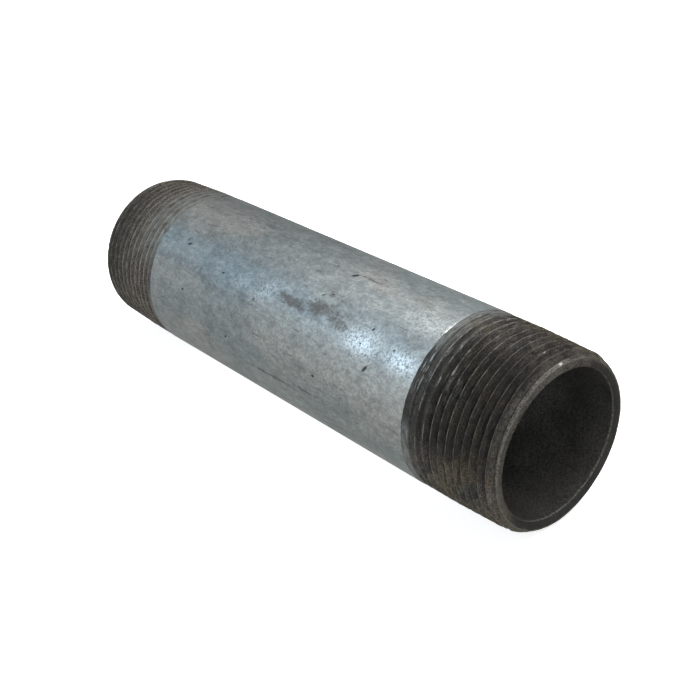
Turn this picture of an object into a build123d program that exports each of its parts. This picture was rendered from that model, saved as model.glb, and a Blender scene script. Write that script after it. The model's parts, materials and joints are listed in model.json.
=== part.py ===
from build123d import *
import math
import os

os.makedirs("parts", exist_ok=True)

# A galvanised steel pipe nipple. The pipe lies along X with its middle at the origin, +Z up.
# All sizes are in millimetres.

# The pipe: nominal size 1-1/4, schedule 40
nipple_length = 150.0
pipe_diameter = 42.164
steel_wall = 3.56
zinc_thickness = 0.08

# The taper pipe thread: 60 degree form, right hand, 1 in 16 on the diameter
threads_per_inch = 11.5
half_flank_angle = 30.0
crest_flat_depth = 0.155
root_flat_depth = 0.073
near_thread_start_angle = 299.0
far_thread_start_angle = 179.0

# The cut ends: a bevel outside, a light ream inside
end_bevel_length = 2.0
end_bevel_depth = 1.2
ream_depth = 0.45
ream_half_angle = 45.0
ream_off_centre = 0.35

# Ratios fixed by the standard for taper pipe threads (diameters in inches, lengths in pitches)
millimetres_per_inch = 25.4
taper_on_radius = 1.0 / 32.0
pitch_diameter_offset = 1.1
pitch_diameter_share = 0.05
effective_length_offset = 6.8
effective_length_share = 0.8
vanish_length_in_pitches = 3.47

# The seam line of the turned surfaces lies here, clear of the joins between turns of either groove
seam_angle = 60.0

# Sizes that follow from the ones above
pipe_radius = pipe_diameter / 2
bore_radius = pipe_radius - steel_wall
lined_bore_radius = bore_radius - zinc_thickness
pitch = millimetres_per_inch / threads_per_inch
diameter_in_inches = pipe_diameter / millimetres_per_inch
pitch_diameter_drop = (pitch_diameter_share * diameter_in_inches + pitch_diameter_offset) * pitch
pitch_diameter_at_end = pipe_diameter - pitch_diameter_drop
effective_length = (effective_length_share * diameter_in_inches + effective_length_offset) * pitch
thread_length = effective_length + vanish_length_in_pitches * pitch
sharp_height = pitch / 2 / math.tan(math.radians(half_flank_angle))
sharp_crest_at_end = pitch_diameter_at_end / 2 + sharp_height / 2
sharp_root_at_end = pitch_diameter_at_end / 2 - sharp_height / 2
clear_of_end = 2 * pitch
groove_lead_in = 1.5 * pitch


def crest_radius(depth):
    """Radius of the thread crests at this depth in from the end face."""
    return sharp_crest_at_end - crest_flat_depth + depth * taper_on_radius


def root_radius(depth):
    """Radius of the bottom of the thread grooves at this depth in from the end face."""
    return sharp_root_at_end + root_flat_depth + depth * taper_on_radius


def on_near_end(shape):
    """Move a shape made with the end face at z = 0 and the pipe above it to the +X end."""
    return Pos(nipple_length / 2, 0, 0) * Rot(0, -90, 0) * shape


def on_far_end(shape):
    """The same for the -X end. It is turned, not mirrored, so a thread stays right hand."""
    return Rot(0, 0, 180) * on_near_end(shape)


def turned(points):
    """A solid turned about Z from (radius, height) points."""
    return Rot(0, 0, seam_angle) * revolve(Plane.XZ * make_face(Polyline(*points, close=True)), Axis.Z)


def end_turning():
    """The ring of metal outside the thread crests and the bevel of one end, which is turned away."""
    clear_radius = pipe_radius + clear_of_end
    bevel_radius = crest_radius(end_bevel_length)
    face_radius = bevel_radius - end_bevel_depth
    crest_meets_pipe = (pipe_radius - crest_radius(0)) / taper_on_radius
    return turned(
        [
            (face_radius, 0),
            (bevel_radius, end_bevel_length),
            (pipe_radius, crest_meets_pipe),
            (clear_radius, crest_meets_pipe),
            (clear_radius, -clear_of_end),
            (face_radius, -clear_of_end),
        ]
    )


def thread_core():
    """The metal that the thread groove never reaches. Its cone steepens where the groove runs out."""
    return turned(
        [
            (0, -clear_of_end),
            (root_radius(-clear_of_end), -clear_of_end),
            (root_radius(effective_length), effective_length),
            (pipe_radius, thread_length),
            (pipe_radius + clear_of_end, thread_length + clear_of_end),
            (0, thread_length + clear_of_end),
        ]
    )


def thread_helix(first_depth, turns):
    """The conical helix of the sharp groove bottom, made of half turns that meet end to end."""
    cone_angle = math.degrees(math.atan(taper_on_radius))
    half_turn = pitch / 2
    pitch_along_cone = pitch / math.cos(math.radians(cone_angle))
    edges = []
    for count in range(2 * turns):
        depth = first_depth + count * half_turn
        radius = sharp_root_at_end + depth * taper_on_radius
        edge = Edge.make_helix(pitch_along_cone, half_turn, radius, (0, 0, 0), (0, 0, 1), cone_angle)
        edges.append(Pos(0, 0, depth) * Rot(0, 0, 180 * count) * edge)
    return Wire(edges)


def thread_groove(start_angle):
    """The helical vee groove of one end, which starts before the end face and runs out into the pipe."""
    turns = math.ceil((groove_lead_in + thread_length) / pitch) + 1
    path = thread_helix(-groove_lead_in, turns)
    groove_height = sharp_height - crest_flat_depth / 2
    half_width = groove_height * math.tan(math.radians(half_flank_angle))
    corners = [(0, 0), (groove_height, half_width), (groove_height, -half_width)]
    section = make_face(Polyline(*corners, close=True))
    start = Plane(origin=path @ 0, x_dir=(1, 0, 0), z_dir=path % 0)
    vee = sweep(start * section, path=path, is_frenet=True)
    return Rot(0, 0, start_angle) * vee - thread_core()


def ream():
    """The countersink that the reaming tool leaves in one mouth, a little off centre."""
    mouth_radius = bore_radius + ream_depth
    growth = math.tan(math.radians(ream_half_angle))
    point_depth = mouth_radius / growth
    outer_point = (mouth_radius + clear_of_end * growth, -clear_of_end)
    cone = turned([(0, -clear_of_end), outer_point, (0, point_depth)])
    return Pos(-ream_off_centre, 0, 0) * cone


def sleeve(inner_radius, outer_radius, first_depth, last_depth):
    """A tube around the pipe's axis, between two depths in from the near end face."""
    return on_near_end(
        turned(
            [
                (inner_radius, first_depth),
                (outer_radius, first_depth),
                (outer_radius, last_depth),
                (inner_radius, last_depth),
            ]
        )
    )


def steel_pipe():
    """One tube, bevelled, reamed and threaded at both ends."""
    tube = sleeve(bore_radius, pipe_radius, 0, nipple_length)
    tube -= on_near_end(end_turning())
    tube -= on_far_end(end_turning())
    tube -= on_near_end(ream())
    tube -= on_far_end(ream())
    tube -= on_near_end(thread_groove(near_thread_start_angle))
    tube -= on_far_end(thread_groove(far_thread_start_angle))
    return tube


def outer_zinc_coat():
    """The galvanised skin of the barrel, between the last traces of the two threads."""
    return sleeve(pipe_radius, pipe_radius + zinc_thickness, thread_length, nipple_length - thread_length)


def bore_zinc_coat():
    """The galvanised skin of the bore. The reaming tool has cut it back at both mouths."""
    skin = sleeve(lined_bore_radius, bore_radius, 0, nipple_length)
    skin -= on_near_end(ream())
    skin -= on_far_end(ream())
    return skin


def write(shape, node):
    """Write one sub-part to its own file."""
    shape.label = node
    export_step(shape, f"parts/{node}.step")


write(steel_pipe(), "steel_pipe")
write(outer_zinc_coat(), "outer_zinc_coat")
write(bore_zinc_coat(), "bore_zinc_coat")
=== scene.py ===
import json
import math

import bmesh
import bpy
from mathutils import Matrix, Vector, noise


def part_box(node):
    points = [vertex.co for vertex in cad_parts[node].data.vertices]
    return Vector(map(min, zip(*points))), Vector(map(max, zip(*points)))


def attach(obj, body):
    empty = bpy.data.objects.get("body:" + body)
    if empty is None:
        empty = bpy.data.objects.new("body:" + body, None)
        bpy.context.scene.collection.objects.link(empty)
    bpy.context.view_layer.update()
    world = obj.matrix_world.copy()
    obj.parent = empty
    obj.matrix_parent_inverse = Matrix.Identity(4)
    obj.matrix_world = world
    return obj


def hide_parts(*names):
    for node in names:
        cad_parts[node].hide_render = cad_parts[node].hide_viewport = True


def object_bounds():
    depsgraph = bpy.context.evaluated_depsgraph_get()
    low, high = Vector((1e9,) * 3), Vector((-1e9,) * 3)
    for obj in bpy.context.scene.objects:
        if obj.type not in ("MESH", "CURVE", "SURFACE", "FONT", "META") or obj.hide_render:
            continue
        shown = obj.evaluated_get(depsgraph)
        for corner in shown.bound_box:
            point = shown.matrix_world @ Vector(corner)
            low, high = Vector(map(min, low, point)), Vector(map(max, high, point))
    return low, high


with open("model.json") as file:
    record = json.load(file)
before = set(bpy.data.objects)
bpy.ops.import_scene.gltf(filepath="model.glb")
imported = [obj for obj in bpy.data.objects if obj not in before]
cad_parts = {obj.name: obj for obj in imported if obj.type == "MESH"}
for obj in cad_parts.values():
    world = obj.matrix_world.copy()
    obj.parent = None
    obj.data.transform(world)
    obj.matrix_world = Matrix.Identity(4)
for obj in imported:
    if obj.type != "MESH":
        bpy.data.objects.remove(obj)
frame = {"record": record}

cad_low, cad_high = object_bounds()


# ---------------------------------------------------------------------------
# The steel pipe
# One length of welded tube, cut square, bevelled outside and reamed inside, with a right-hand
# taper thread die-cut into each end. The cut steel is bare and dark with old cutting oil.
# ---------------------------------------------------------------------------

MM = 0.001
pipe_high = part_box("steel_pipe")[1]
zinc_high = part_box("outer_zinc_coat")[1]
half_length = pipe_high[0]
pipe_radius = pipe_high[1]
thread_length = half_length - zinc_high[0]
zinc_thickness = zinc_high[1] - pipe_radius
bore_mount = [mount for mount in frame["record"]["mounts"] if mount["name"] == "bore"][0]
lined_bore_radius = bore_mount["dims"]["r_mm"] * MM
bore_radius = lined_bore_radius + zinc_thickness

# Taper pipe thread: 60 degree form, right hand, 1 in 32 on the radius
threads_per_inch = 11.5
pitch = 25.4 * MM / threads_per_inch
taper = 1 / 32
pitch_radius_at_end = 19.776 * MM
half_flank = math.radians(30)
sharp_height = pitch / 2 / math.tan(half_flank)
crest_cut = 0.155 * MM
root_cut = 0.073 * MM
run_out_turns = 3.47
effective_length = thread_length - run_out_turns * pitch
past_thread = 0.15 * MM

# The bevel outside, the small round on every edge, and the ream inside
bevel_length = 2.0 * MM
bevel_depth = 1.2 * MM
edge_break = 0.16 * MM
ream_depth = 0.45 * MM
ream_off_centre = 0.35 * MM

# Points around the pipe, steps up a flank, and where each groove starts, as a share of a turn
columns = 300
flank_steps = 4
near_start = 0.919
far_start = 0.753

# Wear in mm: rubbing and tearing of the crests, tearing of the flanks, dents in the end face
rub_depth = 0.09
tear_depth = 0.55
flank_tear = 0.025
dent_depth = 0.04

# Crests tear where the roughness passes this, and least of all far in from the mouth
tears_above = 0.22
least_tearing = 0.25
tearing_reach = 5.0 * MM

# Each point keeps a value for its colour: 1 on a crest, 0 in a groove, and these at the mouth
crest_band = 0.30 * MM
face_value = 0.4
bevel_top_value = 0.8
ream_edge_value = 0.3


def roughness_at(x, angle, size, seed):
    """A smooth random height from about -1 to 1 on the pipe's skin, the same on every run."""
    y = pipe_radius * math.cos(angle)
    z = pipe_radius * math.sin(angle)
    return noise.noise(Vector((x, y, z)) / size + Vector((seed, 1.7 * seed, -seed)))


def turn_from(around, angle):
    """The shortest way round from a place in degrees to an angle, in radians."""
    return (angle - math.radians(around) + math.pi) % (2 * math.pi) - math.pi


def sharp_root(depth):
    """Radius of the sharp bottom of the thread's vee at this depth in from the end."""
    return pitch_radius_at_end - sharp_height / 2 + depth * taper


def groove_floor(depth):
    """Radius below which the die never cuts. It climbs to the skin where the thread runs out."""
    if depth < effective_length:
        return sharp_root(depth) + root_cut
    last_floor = sharp_root(effective_length) + root_cut
    share = (depth - effective_length) / (thread_length - effective_length)
    return last_floor + share * (pipe_radius - last_floor)


def crest_envelope(depth):
    """Radius of unworn metal: the bevel, the crest cone, then the pipe's own skin."""
    crest = sharp_root(depth) + sharp_height - crest_cut
    if depth < bevel_length:
        crest -= bevel_depth * (1 - depth / bevel_length)
    return min(crest, pipe_radius)


def crest_wear(x, depth, angle):
    """How much of a crest is rubbed or chipped away, most of all near the mouth."""
    rub_and_highlight = max(0.0, roughness_at(x, angle, size=4.0 * MM, seed=3.1)) * rub_depth * MM
    torn = max(0.0, roughness_at(x, angle, size=1.3 * MM, seed=8.4) - tears_above) * tear_depth * MM
    near_mouth = math.exp(-depth / tearing_reach)
    return rub_and_highlight + torn * (least_tearing + (1 - least_tearing) * near_mouth)


# Nicks from a dropped tool: distance along the pipe (mm), angle up from the front (degrees),
# size and depth (mm)
nicks = [
    (74.5, 84.0, 0.55, 0.10),
    (72.9, 97.0, 0.35, 0.06),
    (70.5, 84.0, 0.30, 0.06),
    (-60.0, 205.0, 0.50, 0.10),
    (72.5, 215.0, 0.60, 0.12),
    (-73.0, 100.0, 0.50, 0.10),
]


def nick_share(x, angle):
    """1 in the middle of a nick, 0 away from all of them, and the nick's depth here."""
    share, depth = 0.0, 0.0
    for along, around, size, hollow in nicks:
        away = math.hypot(x - along * MM, turn_from(around, angle) * pipe_radius) / (size * MM)
        here = math.exp(-away * away) if away < 3 else 0.0
        share = max(share, here)
        depth = max(depth, here * hollow * MM)
    return share, depth


def thread_radius(x, depth, angle, from_groove):
    """Radius of the cut steel, from_groove being the distance along the axis to the groove's middle."""
    flank = sharp_root(depth) + from_groove / math.tan(half_flank)
    torn = roughness_at(x, angle, size=0.7 * MM, seed=5.3) * flank_tear * MM
    cut = max(flank + torn, groove_floor(depth) + abs(torn))
    worn = crest_envelope(depth) - crest_wear(x, depth, angle)
    return min(cut, worn - nick_share(x, angle)[1])


def row_offsets(depth):
    """Places across one turn, from crest to crest: the groove's corners and the steps up each flank."""
    root_edge = root_cut * math.tan(half_flank)
    if depth > effective_length:
        root_edge = (groove_floor(depth) - sharp_root(depth)) * math.tan(half_flank)
    crest_edge = (crest_envelope(max(depth, bevel_length)) - sharp_root(depth)) * math.tan(half_flank)
    narrowest_flank = 0.02 * MM
    widest_groove = 0.49 * pitch
    crest_edge = min(max(crest_edge, root_edge + narrowest_flank), widest_groove)
    width = crest_edge - root_edge
    side = [root_edge + width * step / flank_steps for step in range(flank_steps + 1)]
    return [-value for value in reversed(side)] + side + [pitch / 2]


def crest_value(x, depth, angle, radius):
    """The value of a point on the thread: 1 on a crest, 0 in a groove, and more than 1 in a nick."""
    value = max(0.0, 1 - (crest_envelope(depth) - radius) / crest_band)
    if depth < bevel_length:
        value = min(max(value, face_value), bevel_top_value)
    return value + nick_share(x, angle)[0]


class PipeMesh:
    """Collects the points and faces of one piece, leaving out faces that a trim has flattened."""

    def __init__(self):
        self.points = []
        self.faces = []
        self.values = []

    def point(self, x, radius, angle, value=0.0):
        self.points.append((x, -radius * math.cos(angle), radius * math.sin(angle)))
        self.values.append(value)
        return len(self.points) - 1

    def face(self, corners):
        kept = [corner for place, corner in enumerate(corners) if corner != corners[place - 1]]
        if len(set(kept)) >= 3 and len(set(kept)) == len(kept):
            self.faces.append(kept)

    def join_rings(self, rings):
        """Faces from each ring of points to the next."""
        for ring, next_ring in zip(rings, rings[1:]):
            for place in range(len(ring)):
                after = (place + 1) % len(ring)
                self.face([ring[place], ring[after], next_ring[after], next_ring[place]])

    def make(self, name, value_name, sharp_above):
        """A closed mesh, smooth but for edges that turn more than sharp_above degrees."""
        mesh = bpy.data.meshes.new(name)
        mesh.from_pydata(self.points, [], self.faces)
        layer = mesh.attributes.new(value_name, "FLOAT", "POINT")
        layer.data.foreach_set("value", self.values)
        shell = bmesh.new()
        shell.from_mesh(mesh)
        bmesh.ops.recalc_face_normals(shell, faces=shell.faces)
        shell.to_mesh(mesh)
        shell.free()
        mesh.shade_smooth()
        mesh.set_sharp_from_angle(angle=math.radians(sharp_above))
        piece = bpy.data.objects.new(name, mesh)
        bpy.context.scene.collection.objects.link(piece)
        return piece


def column_angle(column):
    return 2 * math.pi * column / columns


def cut_thread(build, end):
    """The helical skin of one end (+1 near, -1 far). Returns its rings at the mouth and at the barrel."""
    start = near_start if end > 0 else far_start
    first, last = edge_break, thread_length + past_thread
    turns = range(-2, math.ceil(thread_length / pitch) + 3)
    mouth_ring, inner_ring, grid = [], [], []
    for column in range(columns):
        angle = column_angle(column)
        lead = (start - 0.5 + end * column / columns) * pitch
        for ring, depth in ((mouth_ring, first), (inner_ring, last)):
            from_groove = abs((depth - lead + pitch / 2) % pitch - pitch / 2)
            x = end * (half_length - depth)
            ring.append(build.point(x, thread_radius(x, depth, angle, from_groove), angle, face_value))
        rows = []
        for turn in turns:
            middle = lead + turn * pitch
            for offset in row_offsets(middle):
                depth = middle + offset
                if depth <= first:
                    rows.append(mouth_ring[column])
                elif depth >= last:
                    rows.append(inner_ring[column])
                else:
                    x = end * (half_length - depth)
                    radius = thread_radius(x, depth, angle, abs(offset))
                    value = crest_value(x, depth, angle, radius)
                    rows.append(build.point(x, radius, angle, value))
        grid.append(rows)
    # The last column meets the first one turn further on
    per_turn = len(row_offsets(0.0))
    for column in range(columns):
        left = grid[column]
        right = grid[(column + 1) % columns]
        shift = end * per_turn if column == columns - 1 else 0
        for row in range(len(left) - 1):
            level, next_level = row + shift, row + 1 + shift
            if level < 0 or next_level >= len(right):
                continue
            build.face([left[row], right[level], right[next_level], left[row + 1]])
    return mouth_ring, inner_ring


def reamed_radius(angle, radius):
    """Radius of an off-centre circle, seen from the pipe's axis."""
    low_side = -math.sin(angle) * ream_off_centre
    across = math.cos(angle) * ream_off_centre
    return low_side + math.sqrt(radius ** 2 - across ** 2)


def mouth_cut_depth(angle, radius):
    """How far in the off-centre ream reaches on a wall of this radius."""
    across = Vector((math.cos(angle) * radius, math.sin(angle) * radius + ream_off_centre))
    return max(bore_radius + ream_depth - across.length, edge_break)


def cut_mouth(build, end, mouth_ring):
    """The square end face and the ream. Returns the ring where the ream meets the bore wall."""
    round_over, outer, inner, ream_top, bore = [], [], [], [], []
    x = end * half_length
    for column in range(columns):
        angle = column_angle(column)
        worn = edge_break * (1.1 + 0.9 * roughness_at(x, angle, size=2.2 * MM, seed=12.0))
        dent = abs(roughness_at(x, angle, size=1.1 * MM, seed=4.0)) * dent_depth * MM
        face_x = x - end * dent
        mouth_radius = math.hypot(*build.points[mouth_ring[column]][1:])
        inner_radius = reamed_radius(angle, bore_radius + ream_depth)
        round_x = x - end * 0.3 * edge_break
        bore_x = x - end * mouth_cut_depth(angle, bore_radius)
        round_over.append(build.point(round_x, mouth_radius - 0.3 * worn, angle, face_value))
        outer.append(build.point(face_x, mouth_radius - worn, angle, face_value))
        inner.append(build.point(face_x, inner_radius + 0.5 * worn, angle, ream_edge_value))
        ream_top.append(build.point(x - end * 0.5 * worn, inner_radius, angle))
        bore.append(build.point(bore_x, bore_radius, angle))
    build.join_rings([mouth_ring, round_over, outer, inner, ream_top, bore])
    return bore


steel = PipeMesh()
near_mouth, near_inner = cut_thread(steel, 1)
far_mouth, far_inner = cut_thread(steel, -1)
steel.join_rings([near_inner, far_inner])
near_bore = cut_mouth(steel, 1, near_mouth)
far_bore = cut_mouth(steel, -1, far_mouth)
steel.join_rings([near_bore, far_bore])
pipe = steel.make("cut_steel_pipe", "crest", sharp_above=25)


class Finish:
    """A surface finish: a Principled shader with patterns in millimetres on the piece's own coordinates."""

    def __init__(self, name, metallic, specular):
        self.material = bpy.data.materials.new(name)
        self.material.use_nodes = True
        self.nodes = self.material.node_tree.nodes
        self.links = self.material.node_tree.links
        self.surface = self.nodes["Principled BSDF"]
        self.surface.inputs["Metallic"].default_value = metallic
        self.surface.inputs["Specular IOR Level"].default_value = specular
        self.place = self.nodes.new("ShaderNodeTexCoord").outputs["Object"]
        split = self.nodes.new("ShaderNodeSeparateXYZ")
        self.put(split.inputs[0], self.stretched(1.0))
        self.along, self.across, self.up = split.outputs
        self.from_middle = self.calculate("ABSOLUTE", self.along, 0.0)

    def put(self, socket, value):
        """Set a socket to a number or colour, or link a node's output to it."""
        if isinstance(value, bpy.types.NodeSocket):
            self.links.new(value, socket)
        elif isinstance(value, tuple) and len(value) == 3 and socket.type == "RGBA":
            socket.default_value = (*value, 1)
        else:
            socket.default_value = value

    def stretched(self, along, across=1.0, shift=0.0):
        """The piece's coordinates in millimetres, squeezed by these factors along and across the pipe."""
        node = self.nodes.new("ShaderNodeMapping")
        self.put(node.inputs["Vector"], self.place)
        node.inputs["Scale"].default_value = (along / MM, across / MM, across / MM)
        node.inputs["Location"].default_value = (shift, shift, shift)
        return node.outputs["Vector"]

    def cloud(self, size, detail=4.0, rough=0.55, along=1.0, shift=0.0, across=1.0):
        """Random patches of this size in millimetres, from 0 to 1."""
        node = self.nodes.new("ShaderNodeTexNoise")
        self.put(node.inputs["Vector"], self.stretched(along, across, shift))
        node.inputs["Scale"].default_value = 1 / size
        node.inputs["Detail"].default_value = detail
        node.inputs["Roughness"].default_value = rough
        return node.outputs["Fac"]

    def band(self, value, low, high, to_low=0.0, to_high=1.0):
        """Map low..high to to_low..to_high, smoothly, and no further."""
        node = self.nodes.new("ShaderNodeMapRange")
        node.interpolation_type = "SMOOTHSTEP"
        names = ("Value", "From Min", "From Max", "To Min", "To Max")
        for name, part in zip(names, (value, low, high, to_low, to_high)):
            self.put(node.inputs[name], part)
        return node.outputs["Result"]

    def calculate(self, operation, first, second):
        node = self.nodes.new("ShaderNodeMath")
        node.operation = operation
        self.put(node.inputs[0], first)
        self.put(node.inputs[1], second)
        return node.outputs[0]

    def plus(self, first, second):
        return self.calculate("ADD", first, second)

    def minus(self, first, second):
        return self.calculate("SUBTRACT", first, second)

    def times(self, product, *others):
        """All of these multiplied together."""
        for other in others:
            product = self.calculate("MULTIPLY", product, other)
        return product

    def blend(self, share, first, second, how="MIX"):
        """The first colour with this share of the second, which a colour mix takes on sockets 6 and 7."""
        node = self.nodes.new("ShaderNodeMix")
        node.data_type = "RGBA"
        node.blend_type = how
        self.put(node.inputs["Factor"], share)
        self.put(node.inputs[6], first)
        self.put(node.inputs[7], second)
        return node.outputs[2]

    def shade(self, colour, share):
        """Multiply a colour by a share that may pass 1."""
        return self.blend(1.0, colour, share, "MULTIPLY")

    def read(self, value_name):
        """The value that each point of the mesh keeps under this name."""
        node = self.nodes.new("ShaderNodeAttribute")
        node.attribute_name = value_name
        return node.outputs["Fac"]

    def paint(self, colour, roughness):
        self.put(self.surface.inputs["Base Color"], colour)
        self.put(self.surface.inputs["Roughness"], roughness)

    def relief(self, height, depth):
        """Bump of this depth in millimetres."""
        node = self.nodes.new("ShaderNodeBump")
        node.inputs["Distance"].default_value = depth * MM
        self.put(node.inputs["Height"], height)
        self.links.new(node.outputs["Normal"], self.surface.inputs["Normal"])

    def onto(self, piece):
        piece.data.materials.clear()
        piece.data.materials.append(self.material)


dark_steel = (0.025, 0.0235, 0.022)
pale_steel = (0.068, 0.061, 0.054)
oil_brown = (0.080, 0.066, 0.045)
rust_brown = (0.090, 0.055, 0.030)
far_steel = (0.150, 0.136, 0.120)
far_groove = (0.034, 0.030, 0.026)
near_crest = (0.190, 0.180, 0.165)
far_crest = (0.275, 0.258, 0.232)
painted_bevel_light = (0.175, 0.160, 0.141)
painted_face_shade = (0.020, 0.0195, 0.019)
rubbed_ridge = (0.170, 0.160, 0.145)
painted_glint_grey = (0.34, 0.34, 0.33)
dragged_zinc = (0.20, 0.212, 0.208)
bare_nick = (0.60, 0.59, 0.56)


class CutSteel(Finish):
    """Dark oiled steel, torn by the die, with rubbed crests and some zinc dragged into the last turns,
    painted shade and light on its flanks and mouth, and painted glints on the upper turns.
    """

    def __init__(self):
        super().__init__("bare_cut_steel", metallic=0.30, specular=0.45)
        self.blotch = self.cloud(3.2, detail=6.0, rough=0.65)
        self.grain = self.cloud(0.36, detail=5.0, rough=0.72, shift=3.0)
        self.torn = self.cloud(0.5, rough=0.65, along=2.6, shift=5.0, across=0.22)
        self.broken = self.cloud(1.3, rough=0.7, shift=21.0, across=0.6)
        self.line_noise = self.cloud(0.85, rough=0.6, along=2.2, shift=31.0, across=0.22)
        # How far the edge of the painted shade wanders, in mm
        self.shade_edge_wander = self.band(self.blotch, 0.3, 0.7, -2.0, 2.0)
        self.crest = self.read("crest")
        self.far_end = self.band(self.along, -45.0, -55.0)
        colour = self.rub_crests(self.oiled_and_shaded_steel())
        colour = self.paint_face_shade_and_ridge(self.paint_bevel_light(colour))
        colour = self.drag_zinc(self.paint_glints(colour))
        colour = self.blend(self.band(self.crest, 1.10, 1.45, 0.0, 0.9), colour, bare_nick)
        self.paint(colour, roughness=self.band(self.torn, 0.35, 0.65, 0.48, 0.70))
        self.relief(self.plus(self.grain, self.times(self.torn, 1.3)), depth=0.06)

    def oiled_and_shaded_steel(self):
        """Blotched steel with a little rust and painted shade on one flank, paler and less oily at the far
        end.
        """
        tint = self.cloud(8.0, rough=0.6, shift=9.0)
        rust = self.cloud(2.6, detail=5.0, rough=0.7, shift=14.0)
        colour = self.blend(self.band(self.blotch, 0.34, 0.66), dark_steel, pale_steel)
        colour = self.blend(self.band(tint, 0.48, 0.62, 0.0, 0.6), colour, oil_brown)
        colour = self.blend(self.band(rust, 0.60, 0.70, 0.0, 0.55), colour, rust_brown)
        # Painted shade and light: the flank that faces the front and up is painted darker, and the rest of
        # the steel paler, as the light falls
        painted_shade_side = self.plus(self.times(self.across, -0.82), self.times(self.up, 0.57))
        painted_shade_side = self.plus(painted_shade_side, self.shade_edge_wander)
        colour = self.shade(colour, self.band(painted_shade_side, 13.0, 19.0, 1.65, 0.48))
        greyer = self.times(self.far_end, self.band(self.from_middle, 74.0, 58.0, 0.12, 0.84))
        colour = self.blend(greyer, colour, far_steel)
        in_groove = self.times(self.far_end, self.band(self.crest, 0.75, 0.15, 0.0, 0.40))
        colour = self.blend(in_groove, colour, far_groove)
        colour = self.shade(colour, self.band(self.grain, 0.36, 0.64, 0.42, 1.70))
        return self.shade(colour, self.band(self.torn, 0.36, 0.64, 0.60, 1.45))

    def rub_crests(self, colour):
        """Crests rubbed pale in broken lines, less and less towards the near mouth."""
        rub_and_highlight = self.times(
            self.band(self.crest, 0.88, 0.99),
            self.band(self.broken, 0.44, 0.60, 0.06, 1.0),
            self.band(self.along, 54.0, 68.0, 0.80, 0.32),
            self.band(self.from_middle, 51.0, 53.5, 0.10, 1.0),
        )
        return self.blend(rub_and_highlight, colour, self.blend(self.far_end, near_crest, far_crest))

    def paint_bevel_light(self, colour):
        """Painted light: the bevel painted paler in broken patches, most on the front and the top, where it
        faces the light.
        """
        rub_and_highlight = self.times(
            self.band(self.from_middle, 72.7, 73.6),
            self.band(self.crest, 0.05, 0.35),
            self.band(self.across, -6.0, 9.0, 1.0, 0.12),
            self.band(self.grain, 0.40, 0.56, 0.1, 1.0),
            self.band(self.blotch, 0.38, 0.58, 0.35, 0.85),
            self.band(self.up, 2.0, 16.0, 0.70, 1.0),
        )
        return self.blend(rub_and_highlight, colour, painted_bevel_light)

    def paint_face_shade_and_ridge(self, colour):
        """Painted shade on the face and the ream along the lower back side, and the rubbed ridge round
        them.
        """
        low_edge = self.minus(self.times(self.across, 0.77), self.times(self.up, 0.64))
        low_edge = self.plus(low_edge, self.shade_edge_wander)
        shaded_face = self.times(
            self.band(self.from_middle, 73.6, 74.0),
            self.band(low_edge, -9.0, 0.0),
            self.band(self.crest, 0.392, 0.365, 0.0, 0.85),
        )
        colour = self.blend(shaded_face, colour, painted_face_shade)
        ridge = self.times(
            self.band(self.from_middle, 74.65, 74.85),
            self.band(self.crest, 0.365, 0.39),
            self.band(self.grain, 0.38, 0.56, 0.12, 0.80),
            self.band(self.up, -14.0, 4.0, 1.15, 0.75),
        )
        return self.blend(ridge, colour, rubbed_ridge)

    def paint_glints(self, colour):
        """Painted glints: bright broken lines on the upper side of the turns next to the barrel."""
        upper_turns = self.times(self.band(self.from_middle, 68.0, 53.0), self.band(self.up, 5.0, 15.0))
        glint_lines = self.times(
            self.band(self.line_noise, 0.54, 0.60),
            self.band(self.crest, 0.1, 0.9, 0.3, 1.0),
            upper_turns,
            self.band(self.broken, 0.40, 0.54),
        )
        return self.blend(glint_lines, colour, painted_glint_grey)

    def drag_zinc(self, colour):
        """Zinc dragged over the last turns by the die, and zinc that it left past the barrel's edge."""
        far_shift = self.times(self.far_end, 4.0)
        streaks = self.cloud(2.2, detail=5.0, rough=0.7, along=3.0, shift=5.0)
        dragged = self.times(
            self.band(self.minus(self.from_middle, far_shift), 60.0, 50.0),
            self.band(self.plus(self.up, far_shift), 8.0, 17.0),
            self.band(streaks, 0.38, 0.64, 0.15, 0.95),
            self.band(self.along, -1.0, 1.0, 1.0, 0.15),
        )
        colour = self.blend(dragged, colour, dragged_zinc)
        clean_side = self.minus(self.times(self.up, 0.5), self.times(self.across, 0.866))
        clean_side = self.plus(clean_side, self.times(self.far_end, 2.0))
        left_over = self.times(
            self.band(self.from_middle, 51.8, 50.2),
            self.band(clean_side, 20.0, 18.4),
            self.band(self.blotch, 0.34, 0.54, 0.35, 0.90),
            self.band(self.line_noise, 0.38, 0.58, 0.35, 1.0),
        )
        return self.blend(left_over, colour, dragged_zinc)


CutSteel().onto(pipe)
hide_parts("steel_pipe")
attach(pipe, "root")


# ---------------------------------------------------------------------------
# The zinc lining of the bore
# Hot-dip zinc about 0.08 mm thick that ran down the inside of the tube before it was cut.
# It is dull, stained dark, and cut back at each mouth by the reaming tool.
# ---------------------------------------------------------------------------

lining_step = 1.0 * MM
mouth_gap = 0.01 * MM

# Gap between the zinc and the steel, so that their surfaces never lie in one place
steel_gap = 0.004 * MM

# Thickness as a share of the layer: the least there is, then what lumps and long runs add
least_zinc = 0.45
lump_share = 0.33
run_share = 0.2
run_stretch = 0.12

# Each point keeps its lump, from 0 to 1, or this at the cut edge
cut_edge_value = 2.0


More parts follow.
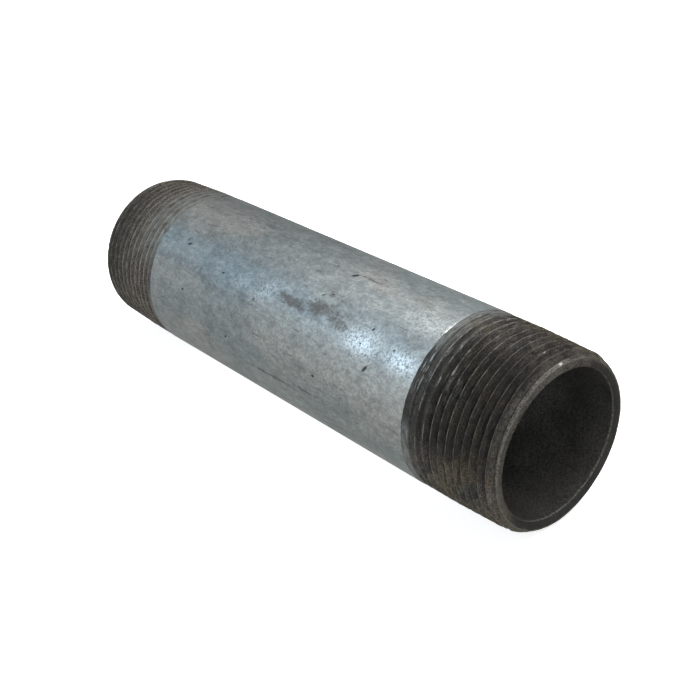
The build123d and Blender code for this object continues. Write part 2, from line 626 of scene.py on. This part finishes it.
def lining_mesh():
    build = PipeMesh()
    rows = math.ceil(2 * half_length / lining_step)
    backs, skins = [], []
    for row in range(rows + 1):
        share = row / rows
        back, skin = [], []
        for column in range(columns):
            angle = column_angle(column)
            reach = half_length - mouth_cut_depth(angle, bore_radius) - mouth_gap
            x = reach * (2 * share - 1)
            lump = 0.5 + 0.5 * roughness_at(x, angle, size=3.5 * MM, seed=6.6)
            run = 0.5 + 0.5 * roughness_at(x * run_stretch, angle, size=1.6 * MM, seed=2.2)
            thick = zinc_thickness * (least_zinc + lump_share * lump + run_share * run)
            value = cut_edge_value if row in (0, rows) else lump
            skin.append(build.point(x, bore_radius - thick, angle, value))
            if row in (0, rows):
                back.append(build.point(x, bore_radius - steel_gap, angle, value))
        skins.append(skin)
        if back:
            backs.append(back)
    build.join_rings(skins + [backs[1], backs[0], skins[0]])
    return build.make("bore_zinc_lining", "lump", sharp_above=40)


dark_lining = (0.026, 0.028, 0.026)
brown_lining = (0.042, 0.040, 0.038)
pale_run = (0.065, 0.062, 0.058)
painted_mouth_light = (0.085, 0.077, 0.068)
cut_zinc = (0.24, 0.23, 0.215)


def stained_zinc():
    """Dull grey-brown zinc, darkened by moisture and cutting oil, with faint runs along the bore, and
    painted light further in and on the low wall near each mouth.
    """
    zinc = Finish("stained_bore_zinc", metallic=0.20, specular=0.30)
    patch = zinc.cloud(7.0, detail=5.0, shift=4.0)
    runs = zinc.cloud(1.6, rough=0.6, along=0.08, shift=7.0)
    grain = zinc.cloud(0.5, rough=0.6)
    colour = zinc.blend(zinc.band(patch, 0.30, 0.75), dark_lining, brown_lining)
    colour = zinc.blend(zinc.band(runs, 0.50, 0.75, 0.0, 0.22), colour, pale_run)
    # Painted light: the lining is painted paler further in from the mouths, where little light reaches
    colour = zinc.shade(colour, zinc.band(zinc.from_middle, 70.0, 50.0, 1.1, 2.8))
    # Painted light: the lower wall near each mouth is painted paler, as if lit through the mouth
    near_mouth = zinc.band(zinc.from_middle, 48.0, 74.0)
    lit_low_mouth = zinc.times(near_mouth, zinc.band(zinc.up, 8.0, -14.0, 0.08, 0.40))
    colour = zinc.blend(lit_low_mouth, colour, painted_mouth_light)
    colour = zinc.shade(colour, zinc.band(grain, 0.36, 0.64, 0.60, 1.45))
    cut_edge = zinc.band(zinc.read("lump"), 1.05, 1.6)
    cut_edge = zinc.times(cut_edge, zinc.band(grain, 0.35, 0.65, 0.2, 1.0))
    colour = zinc.blend(cut_edge, colour, cut_zinc)
    zinc.paint(colour, roughness=zinc.band(patch, 0.3, 0.7, 0.55, 0.72))
    zinc.relief(zinc.plus(grain, runs), depth=0.06)
    return zinc


lining = lining_mesh()
stained_zinc().onto(lining)
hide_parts("bore_zinc_coat")
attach(lining, "root")


# ---------------------------------------------------------------------------
# The zinc skin of the barrel
# Hot-dip zinc on the outside, left only between the threads, where the dies stopped.
# It is dull and mottled, with shallow pits and fine scratches along the pipe, and painted highlights on
# spots and one edge.
# ---------------------------------------------------------------------------

barrel_half = zinc_high[0]
skin_top = zinc_high[1]
skin_step = 0.4 * MM
skin_columns = 360
die_stop_shift = 0.45 * MM

# Unevenness of the skin in mm: its ragged edge, small lumps and long waves
edge_raggedness = 0.25
lump_height = 0.008
wave_height = 0.006
wave_stretch = 0.3
deepest_pit = 0.8 * zinc_thickness

# The rounded edge: how far the last ring on top lies in and down, and how high the edge itself is
edge_inset = 0.03 * MM
edge_drop = 0.004 * MM
edge_height = 0.25 * zinc_thickness


def both_sides(marks):
    """The marks of the front, and the same again on the far side, turned end for end."""
    hidden = []
    for along, around, length, width, slant, strength in marks:
        hidden.append((-along, around + 190.0, length, width, -slant, strength))
    return marks + hidden


# Pits: distance along the pipe from its middle, angle up from the front, half length, half width,
# slant from the pipe's line, depth (mm and degrees)
pits = both_sides([
    (15.3, 77.0, 1.25, 0.60, 40, 0.070),
    (34.9, 24.5, 1.20, 0.45, 60, 0.070),
    (-21.3, 38.0, 0.60, 0.35, 15, 0.050),
    (-38.8, 45.8, 1.00, 0.45, 15, 0.055),
    (-40.0, 48.2, 0.70, 0.30, 100, 0.050),
    (-39.2, 49.6, 0.60, 0.20, -10, 0.045),
    (15.2, 57.2, 0.90, 0.16, -18, 0.040),
    (13.2, 54.4, 1.00, 0.16, 35, 0.040),
    (8.6, 78.5, 0.60, 0.28, 0, 0.045),
    (32.2, 48.0, 0.40, 0.60, 0, 0.045),
    (30.8, 37.0, 0.35, 0.30, 0, 0.040),
    (40.6, 42.0, 0.40, 0.30, 0, 0.035),
    (19.2, 4.0, 0.60, 0.45, 0, 0.045),
    (-15.2, -2.5, 0.70, 0.35, 50, 0.045),
    (-34.8, 14.5, 0.50, 0.40, 20, 0.040),
    (-7.0, 31.5, 0.50, 0.30, 60, 0.040),
])

# Broad marks, with the same first five values: brown-grey smears, then spots of painted highlight
smears = both_sides([
    (15.0, 45.5, 10.0, 2.6, 3, 0.80),
    (5.0, 41.5, 6.5, 1.7, -6, 1.00),
    (22.0, 42.0, 5.0, 1.8, 0, 0.85),
    (16.0, 56.0, 6.0, 1.2, 0, 0.45),
    (37.0, 8.0, 0.9, 7.0, 0, 0.35),
    (21.0, 79.3, 12.0, 0.30, 0, 0.75),
    (-20.0, 82.5, 8.0, 0.30, 0, 0.70),
    (2.0, -14.0, 13.0, 0.50, 1, 0.85),
    (16.0, -10.5, 8.0, 0.45, 0, 0.80),
    (-48.6, 90.0, 0.45, 6.0, 0, 0.8),
    (-46.9, 96.0, 0.35, 4.5, 0, 0.6),
    (-30.0, 33.0, 5.0, 1.0, 0, 0.35),
])

# A painted glint on the near edge of the zinc
painted_edge_glint = (48.75, 69.5, 0.30, 2.9, 0, 2.2)
painted_highlight_spots = both_sides([
    (44.0, 37.5, 6.5, 2.9, 0, 1.0),
    (31.0, 37.0, 6.5, 3.4, 0, 1.0),
    (34.0, 45.0, 5.0, 1.8, -20, 0.45),
    (24.0, 37.0, 3.0, 1.4, -30, 0.25),
    (-4.0, 41.0, 5.5, 2.8, 30, 0.28),
    (-14.0, 38.0, 6.0, 2.0, 10, 0.15),
    (48.0, 34.0, 1.6, 3.0, 0, 0.45),
    (44.0, 66.0, 7.0, 3.5, 0, 0.30),
]) + [painted_edge_glint]

# How fast a mark fades from its middle
mark_fade = 1.6


def mark_share(marks, x, angle):
    """The strongest mark here: 1 in its middle and 0 away from it, then that times its last value."""
    best, most = 0.0, 0.0
    for along, around, length, width, slant, strength in marks:
        dx = x - along * MM
        if abs(dx) > 3 * max(length, width) * MM:
            continue
        dy = turn_from(around, angle) * skin_top
        lean = math.radians(slant)
        down = (dx * math.cos(lean) + dy * math.sin(lean)) / (length * MM)
        over = (dy * math.cos(lean) - dx * math.sin(lean)) / (width * MM)
        share = math.exp(-mark_fade * (down * down + over * over))
        best = max(best, share)
        most = max(most, share * strength)
    return best, most


def barrel_mesh():
    build = PipeMesh()
    rows = math.ceil(2 * barrel_half / skin_step)
    skins, backs, smear_values, painted_highlight_values = [], [], [], []
    for row in range(-1, rows + 2):
        share = min(max(row / rows, 0.0), 1.0)
        skin, back = [], []
        for column in range(skin_columns):
            angle = 2 * math.pi * column / skin_columns
            ragged = abs(roughness_at(barrel_half, angle, size=0.9 * MM, seed=7.7)) * edge_raggedness * MM
            x = (2 * share - 1) * (barrel_half - ragged) - die_stop_shift
            lump = 0.5 + 0.5 * roughness_at(x, angle, size=2.6 * MM, seed=1.9)
            wave = 0.5 + 0.5 * roughness_at(x * wave_stretch, angle, size=7.0 * MM, seed=4.2)
            mark, hollow = mark_share(pits, x, angle)
            radius = skin_top - (lump_height * lump + wave_height * wave) * MM
            radius -= min(hollow * MM, deepest_pit)
            if row in (-1, rows + 1):
                radius = pipe_radius + edge_height
            elif row in (0, rows):
                radius = skin_top - edge_drop
                x -= math.copysign(edge_inset, x)
            skin.append(build.point(x, radius, angle, mark))
            smear_values.append(mark_share(smears, x, angle)[1])
            painted_highlight_values.append(mark_share(painted_highlight_spots, x, angle)[1])
            if row in (-1, rows + 1):
                back.append(build.point(x, pipe_radius + steel_gap, angle))
                smear_values.append(0.0)
                painted_highlight_values.append(0.0)
        skins.append(skin)
        if back:
            backs.append(back)
    build.join_rings(skins + [backs[1], backs[0], skins[0]])
    piece = build.make("barrel_zinc_skin", "pit", sharp_above=40)
    for value_name, values in (("smear", smear_values), ("painted_highlight", painted_highlight_values)):
        layer = piece.data.attributes.new(value_name, "FLOAT", "POINT")
        layer.data.foreach_set("value", values)
    return piece


cool_grey = (0.228, 0.254, 0.262)
warm_grey = (0.305, 0.310, 0.300)
dark_patch = (0.165, 0.177, 0.176)
pale_patch = (0.38, 0.385, 0.375)
low_grey = (0.315, 0.345, 0.335)
smear_brown = (0.125, 0.105, 0.095)
pale_streak = (0.42, 0.43, 0.43)
dark_streak = (0.12, 0.125, 0.122)
scratch_grey = (0.08, 0.082, 0.08)
speck_grey = (0.075, 0.078, 0.075)
painted_highlight_zinc = (0.90, 0.92, 0.94)
painted_glint_white = (0.95, 0.95, 0.94)
pit_grey = (0.038, 0.040, 0.038)


def mottled_zinc():
    """Weathered hot-dip zinc: cool and warm grey patches, dark specks, fine scratches and spots of painted
    highlight.
    """
    zinc = Finish("mottled_barrel_zinc", metallic=0.55, specular=0.5)
    broad = zinc.cloud(16.0, along=0.4, shift=2.0)
    patch = zinc.cloud(4.0, detail=6.0, rough=0.66, along=0.6)
    low_patch = zinc.cloud(6.0, along=0.5, shift=23.0)
    fine = zinc.cloud(0.6, detail=5.0, rough=0.75, shift=6.0)
    crumbs = zinc.cloud(1.4, detail=5.0, rough=0.72, along=0.7, shift=17.0)
    streak = zinc.cloud(0.5, detail=3.0, rough=0.6, along=0.06, shift=8.0)
    scratch = zinc.cloud(0.8, detail=2.0, rough=0.5, along=0.16, shift=13.0)
    colour = zinc.blend(zinc.band(broad, 0.40, 0.60), cool_grey, warm_grey)
    colour = zinc.blend(zinc.band(patch, 0.50, 0.66, 0.0, 0.55), colour, dark_patch)
    colour = zinc.blend(zinc.band(patch, 0.46, 0.32, 0.0, 0.45), colour, pale_patch)
    # The top is painted brighter towards the near end and darker towards the far end
    upper = zinc.times(zinc.band(zinc.up, 4.0, 16.0), zinc.band(zinc.along, -45.0, 48.0, -0.20, 0.24))
    colour = zinc.shade(colour, zinc.plus(1.0, upper))
    low_side = zinc.times(zinc.band(zinc.up, 4.0, -10.0), zinc.band(low_patch, 0.42, 0.62, 0.1, 0.7))
    colour = zinc.blend(low_side, colour, low_grey)
    smear = zinc.plus(zinc.read("smear"), zinc.band(crumbs, 0.35, 0.65, -0.18, 0.18))
    colour = zinc.blend(zinc.band(smear, 0.13, 0.78, 0.0, 0.84), colour, smear_brown)
    colour = zinc.shade(colour, zinc.band(fine, 0.36, 0.64, 0.80, 1.20))
    colour = zinc.shade(colour, zinc.band(crumbs, 0.34, 0.66, 1.16, 0.83))
    colour = zinc.blend(zinc.band(streak, 0.60, 0.70, 0.0, 0.22), colour, pale_streak)
    colour = zinc.blend(zinc.band(streak, 0.40, 0.30, 0.0, 0.45), colour, dark_streak)
    colour = zinc.blend(zinc.band(scratch, 0.68, 0.72, 0.0, 0.55), colour, scratch_grey)
    colour = zinc.blend(zinc.band(crumbs, 0.66, 0.73, 0.0, 0.65), colour, speck_grey)
    # Painted highlights: bright spots that show on the high grains first
    rub_and_highlight = zinc.read("painted_highlight")
    painted_highlight = zinc.times(rub_and_highlight, zinc.band(fine, 0.40, 0.56))
    colour = zinc.blend(zinc.times(painted_highlight, 0.92), colour, painted_highlight_zinc)
    # Near white where the painted highlight is strongest, most of all in the painted glint on the near edge
    colour = zinc.blend(zinc.band(rub_and_highlight, 0.9, 1.5), colour, painted_glint_white)
    colour = zinc.blend(zinc.band(zinc.read("pit"), 0.15, 0.60), colour, pit_grey)
    dullness = zinc.minus(zinc.band(fine, 0.3, 0.7, 0.36, 0.56), zinc.times(painted_highlight, 0.14))
    zinc.paint(colour, roughness=dullness)
    zinc.relief(zinc.plus(fine, zinc.times(crumbs, 1.4)), depth=0.045)
    return zinc


barrel = barrel_mesh()
mottled_zinc().onto(barrel)
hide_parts("outer_zinc_coat")
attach(barrel, "root")


# ---------------------------------------------------------------------------
# Floor, light and camera
# A plain pale floor that curves up into a wall all round, as a studio's paper sweep does. Soft
# boxes stand round the pipe, high and low, and the room is brighter from below than from above.
# ---------------------------------------------------------------------------

floor_radius = 2.0
wall_height = 3.0
sweep_radius = 1.5
sweep_steps = 10
sweep_sides = 64
paper_colour = (0.93, 0.93, 0.93, 1)
paper_glow = (1.0, 1.0, 1.0, 1)


def sweep_mesh():
    """A round floor whose edge bends up into a wall."""
    profile = [(floor_radius, 0.0)]
    for step in range(1, sweep_steps + 1):
        bend = math.pi / 2 * step / sweep_steps
        profile.append((floor_radius + sweep_radius * math.sin(bend), sweep_radius * (1 - math.cos(bend))))
    profile.append((floor_radius + sweep_radius, wall_height))
    turns = [2 * math.pi * side / sweep_sides for side in range(sweep_sides)]
    shell = bmesh.new()
    rings = []
    for radius, height in profile:
        places = [(radius * math.cos(turn), radius * math.sin(turn), height) for turn in turns]
        rings.append([shell.verts.new(place) for place in places])
    shell.faces.new(rings[0])
    for low_ring, high_ring in zip(rings, rings[1:]):
        for side in range(sweep_sides):
            after = (side + 1) % sweep_sides
            shell.faces.new((low_ring[side], low_ring[after], high_ring[after], high_ring[side]))
    mesh = bpy.data.meshes.new("floor")
    shell.to_mesh(mesh)
    shell.free()
    return mesh


paper = bpy.data.materials.new("pale_floor")
paper.use_nodes = True
paper_surface = paper.node_tree.nodes["Principled BSDF"]
paper_surface.inputs["Base Color"].default_value = paper_colour
paper_surface.inputs["Roughness"].default_value = 0.9
paper_surface.inputs["Emission Color"].default_value = paper_glow
paper_surface.inputs["Emission Strength"].default_value = 0.80
floor = bpy.data.objects.new("floor", sweep_mesh())
floor.location.z = cad_low[2]
floor.data.materials.append(paper)
bpy.context.scene.collection.objects.link(floor)
floor.visible_diffuse = False
floor.visible_glossy = False
floor.visible_shadow = False

# The light of the room: one strength from below, another from above
light_from_below = (0.40, 0.395, 0.378)
light_from_above = (0.13, 0.14, 0.145)
room = bpy.data.worlds.new("room")
room.use_nodes = True
room_nodes = room.node_tree.nodes
room_links = room.node_tree.links
room_split = room_nodes.new("ShaderNodeSeparateXYZ")
room_links.new(room_nodes.new("ShaderNodeTexCoord").outputs["Generated"], room_split.inputs[0])
room_height = room_nodes.new("ShaderNodeMapRange")
room_height.interpolation_type = "SMOOTHSTEP"
room_height.inputs["From Min"].default_value = -0.4
room_height.inputs["From Max"].default_value = 0.4
room_links.new(room_split.outputs[2], room_height.inputs["Value"])
room_mix = room_nodes.new("ShaderNodeMix")
room_mix.data_type = "RGBA"
room_links.new(room_height.outputs["Result"], room_mix.inputs["Factor"])
room_mix.inputs[6].default_value = (*light_from_below, 1)
room_mix.inputs[7].default_value = (*light_from_above, 1)
room_links.new(room_mix.outputs[2], room_nodes["Background"].inputs["Color"])
bpy.context.scene.world = room
bpy.context.scene.view_settings.view_transform = "Standard"


def outward(azimuth, elevation):
    """The way out from the pipe at these angles in degrees. Azimuth 0 is in front, on the -Y side."""
    around, up = math.radians(azimuth), math.radians(elevation)
    return Vector((math.sin(around) * math.cos(up), -math.cos(around) * math.cos(up), math.sin(up)))


def stand(name, data, target, away, distance):
    """Stand a lamp or a camera this far out from the target, and turn it to face the target."""
    thing = bpy.data.objects.new(name, data)
    thing.location = target + away * distance
    thing.rotation_mode = "QUATERNION"
    thing.rotation_quaternion = away.to_track_quat("Z", "Y")
    bpy.context.scene.collection.objects.link(thing)
    return thing


pipe_middle = Vector((0.0, 0.0, 0.0))

# Soft boxes: name, azimuth, elevation, distance, width and height (m), power (W), colour
soft_boxes = [
    ("end_light", -105.0, 66.0, 1.2, 1.0, 0.4, 6.0, (1.0, 0.98, 0.94)),
    ("side_light", -50.0, 30.0, 1.3, 1.3, 0.50, 4.5, (0.50, 0.78, 1.0)),
    ("front_light", -5.0, 4.0, 1.4, 1.2, 0.6, 9.4, (0.96, 0.99, 1.0)),
    ("mouth_light", 105.0, 62.0, 0.42, 0.30, 0.25, 0.8, (1.0, 0.99, 0.96)),
    ("back_light", 170.0, 60.0, 1.2, 1.4, 0.7, 4.0, (1.0, 0.98, 0.94)),
    ("fill_light", 52.0, 6.0, 1.2, 0.8, 0.8, 3.4, (0.96, 1.0, 0.97)),
]
for name, azimuth, elevation, distance, width, height, power, colour in soft_boxes:
    lamp = bpy.data.lights.new(name, "AREA")
    lamp.shape = "RECTANGLE"
    lamp.size = width
    lamp.size_y = height
    lamp.energy = power
    lamp.color = colour
    stand(name, lamp, pipe_middle, outward(azimuth, elevation), distance)

camera_target = Vector((5.01, 2.32, -4.68)) * MM
camera_azimuth = 49.41
camera_elevation = 26.15
camera_distance = 297.5 * MM
camera_data = bpy.data.cameras.new("camera")
camera_data.lens = 61.22
camera_data.sensor_width = 36.0
camera_data.clip_start = 0.01
towards_camera = outward(camera_azimuth, camera_elevation)
camera = stand("camera", camera_data, camera_target, towards_camera, camera_distance)
bpy.context.scene.camera = camera
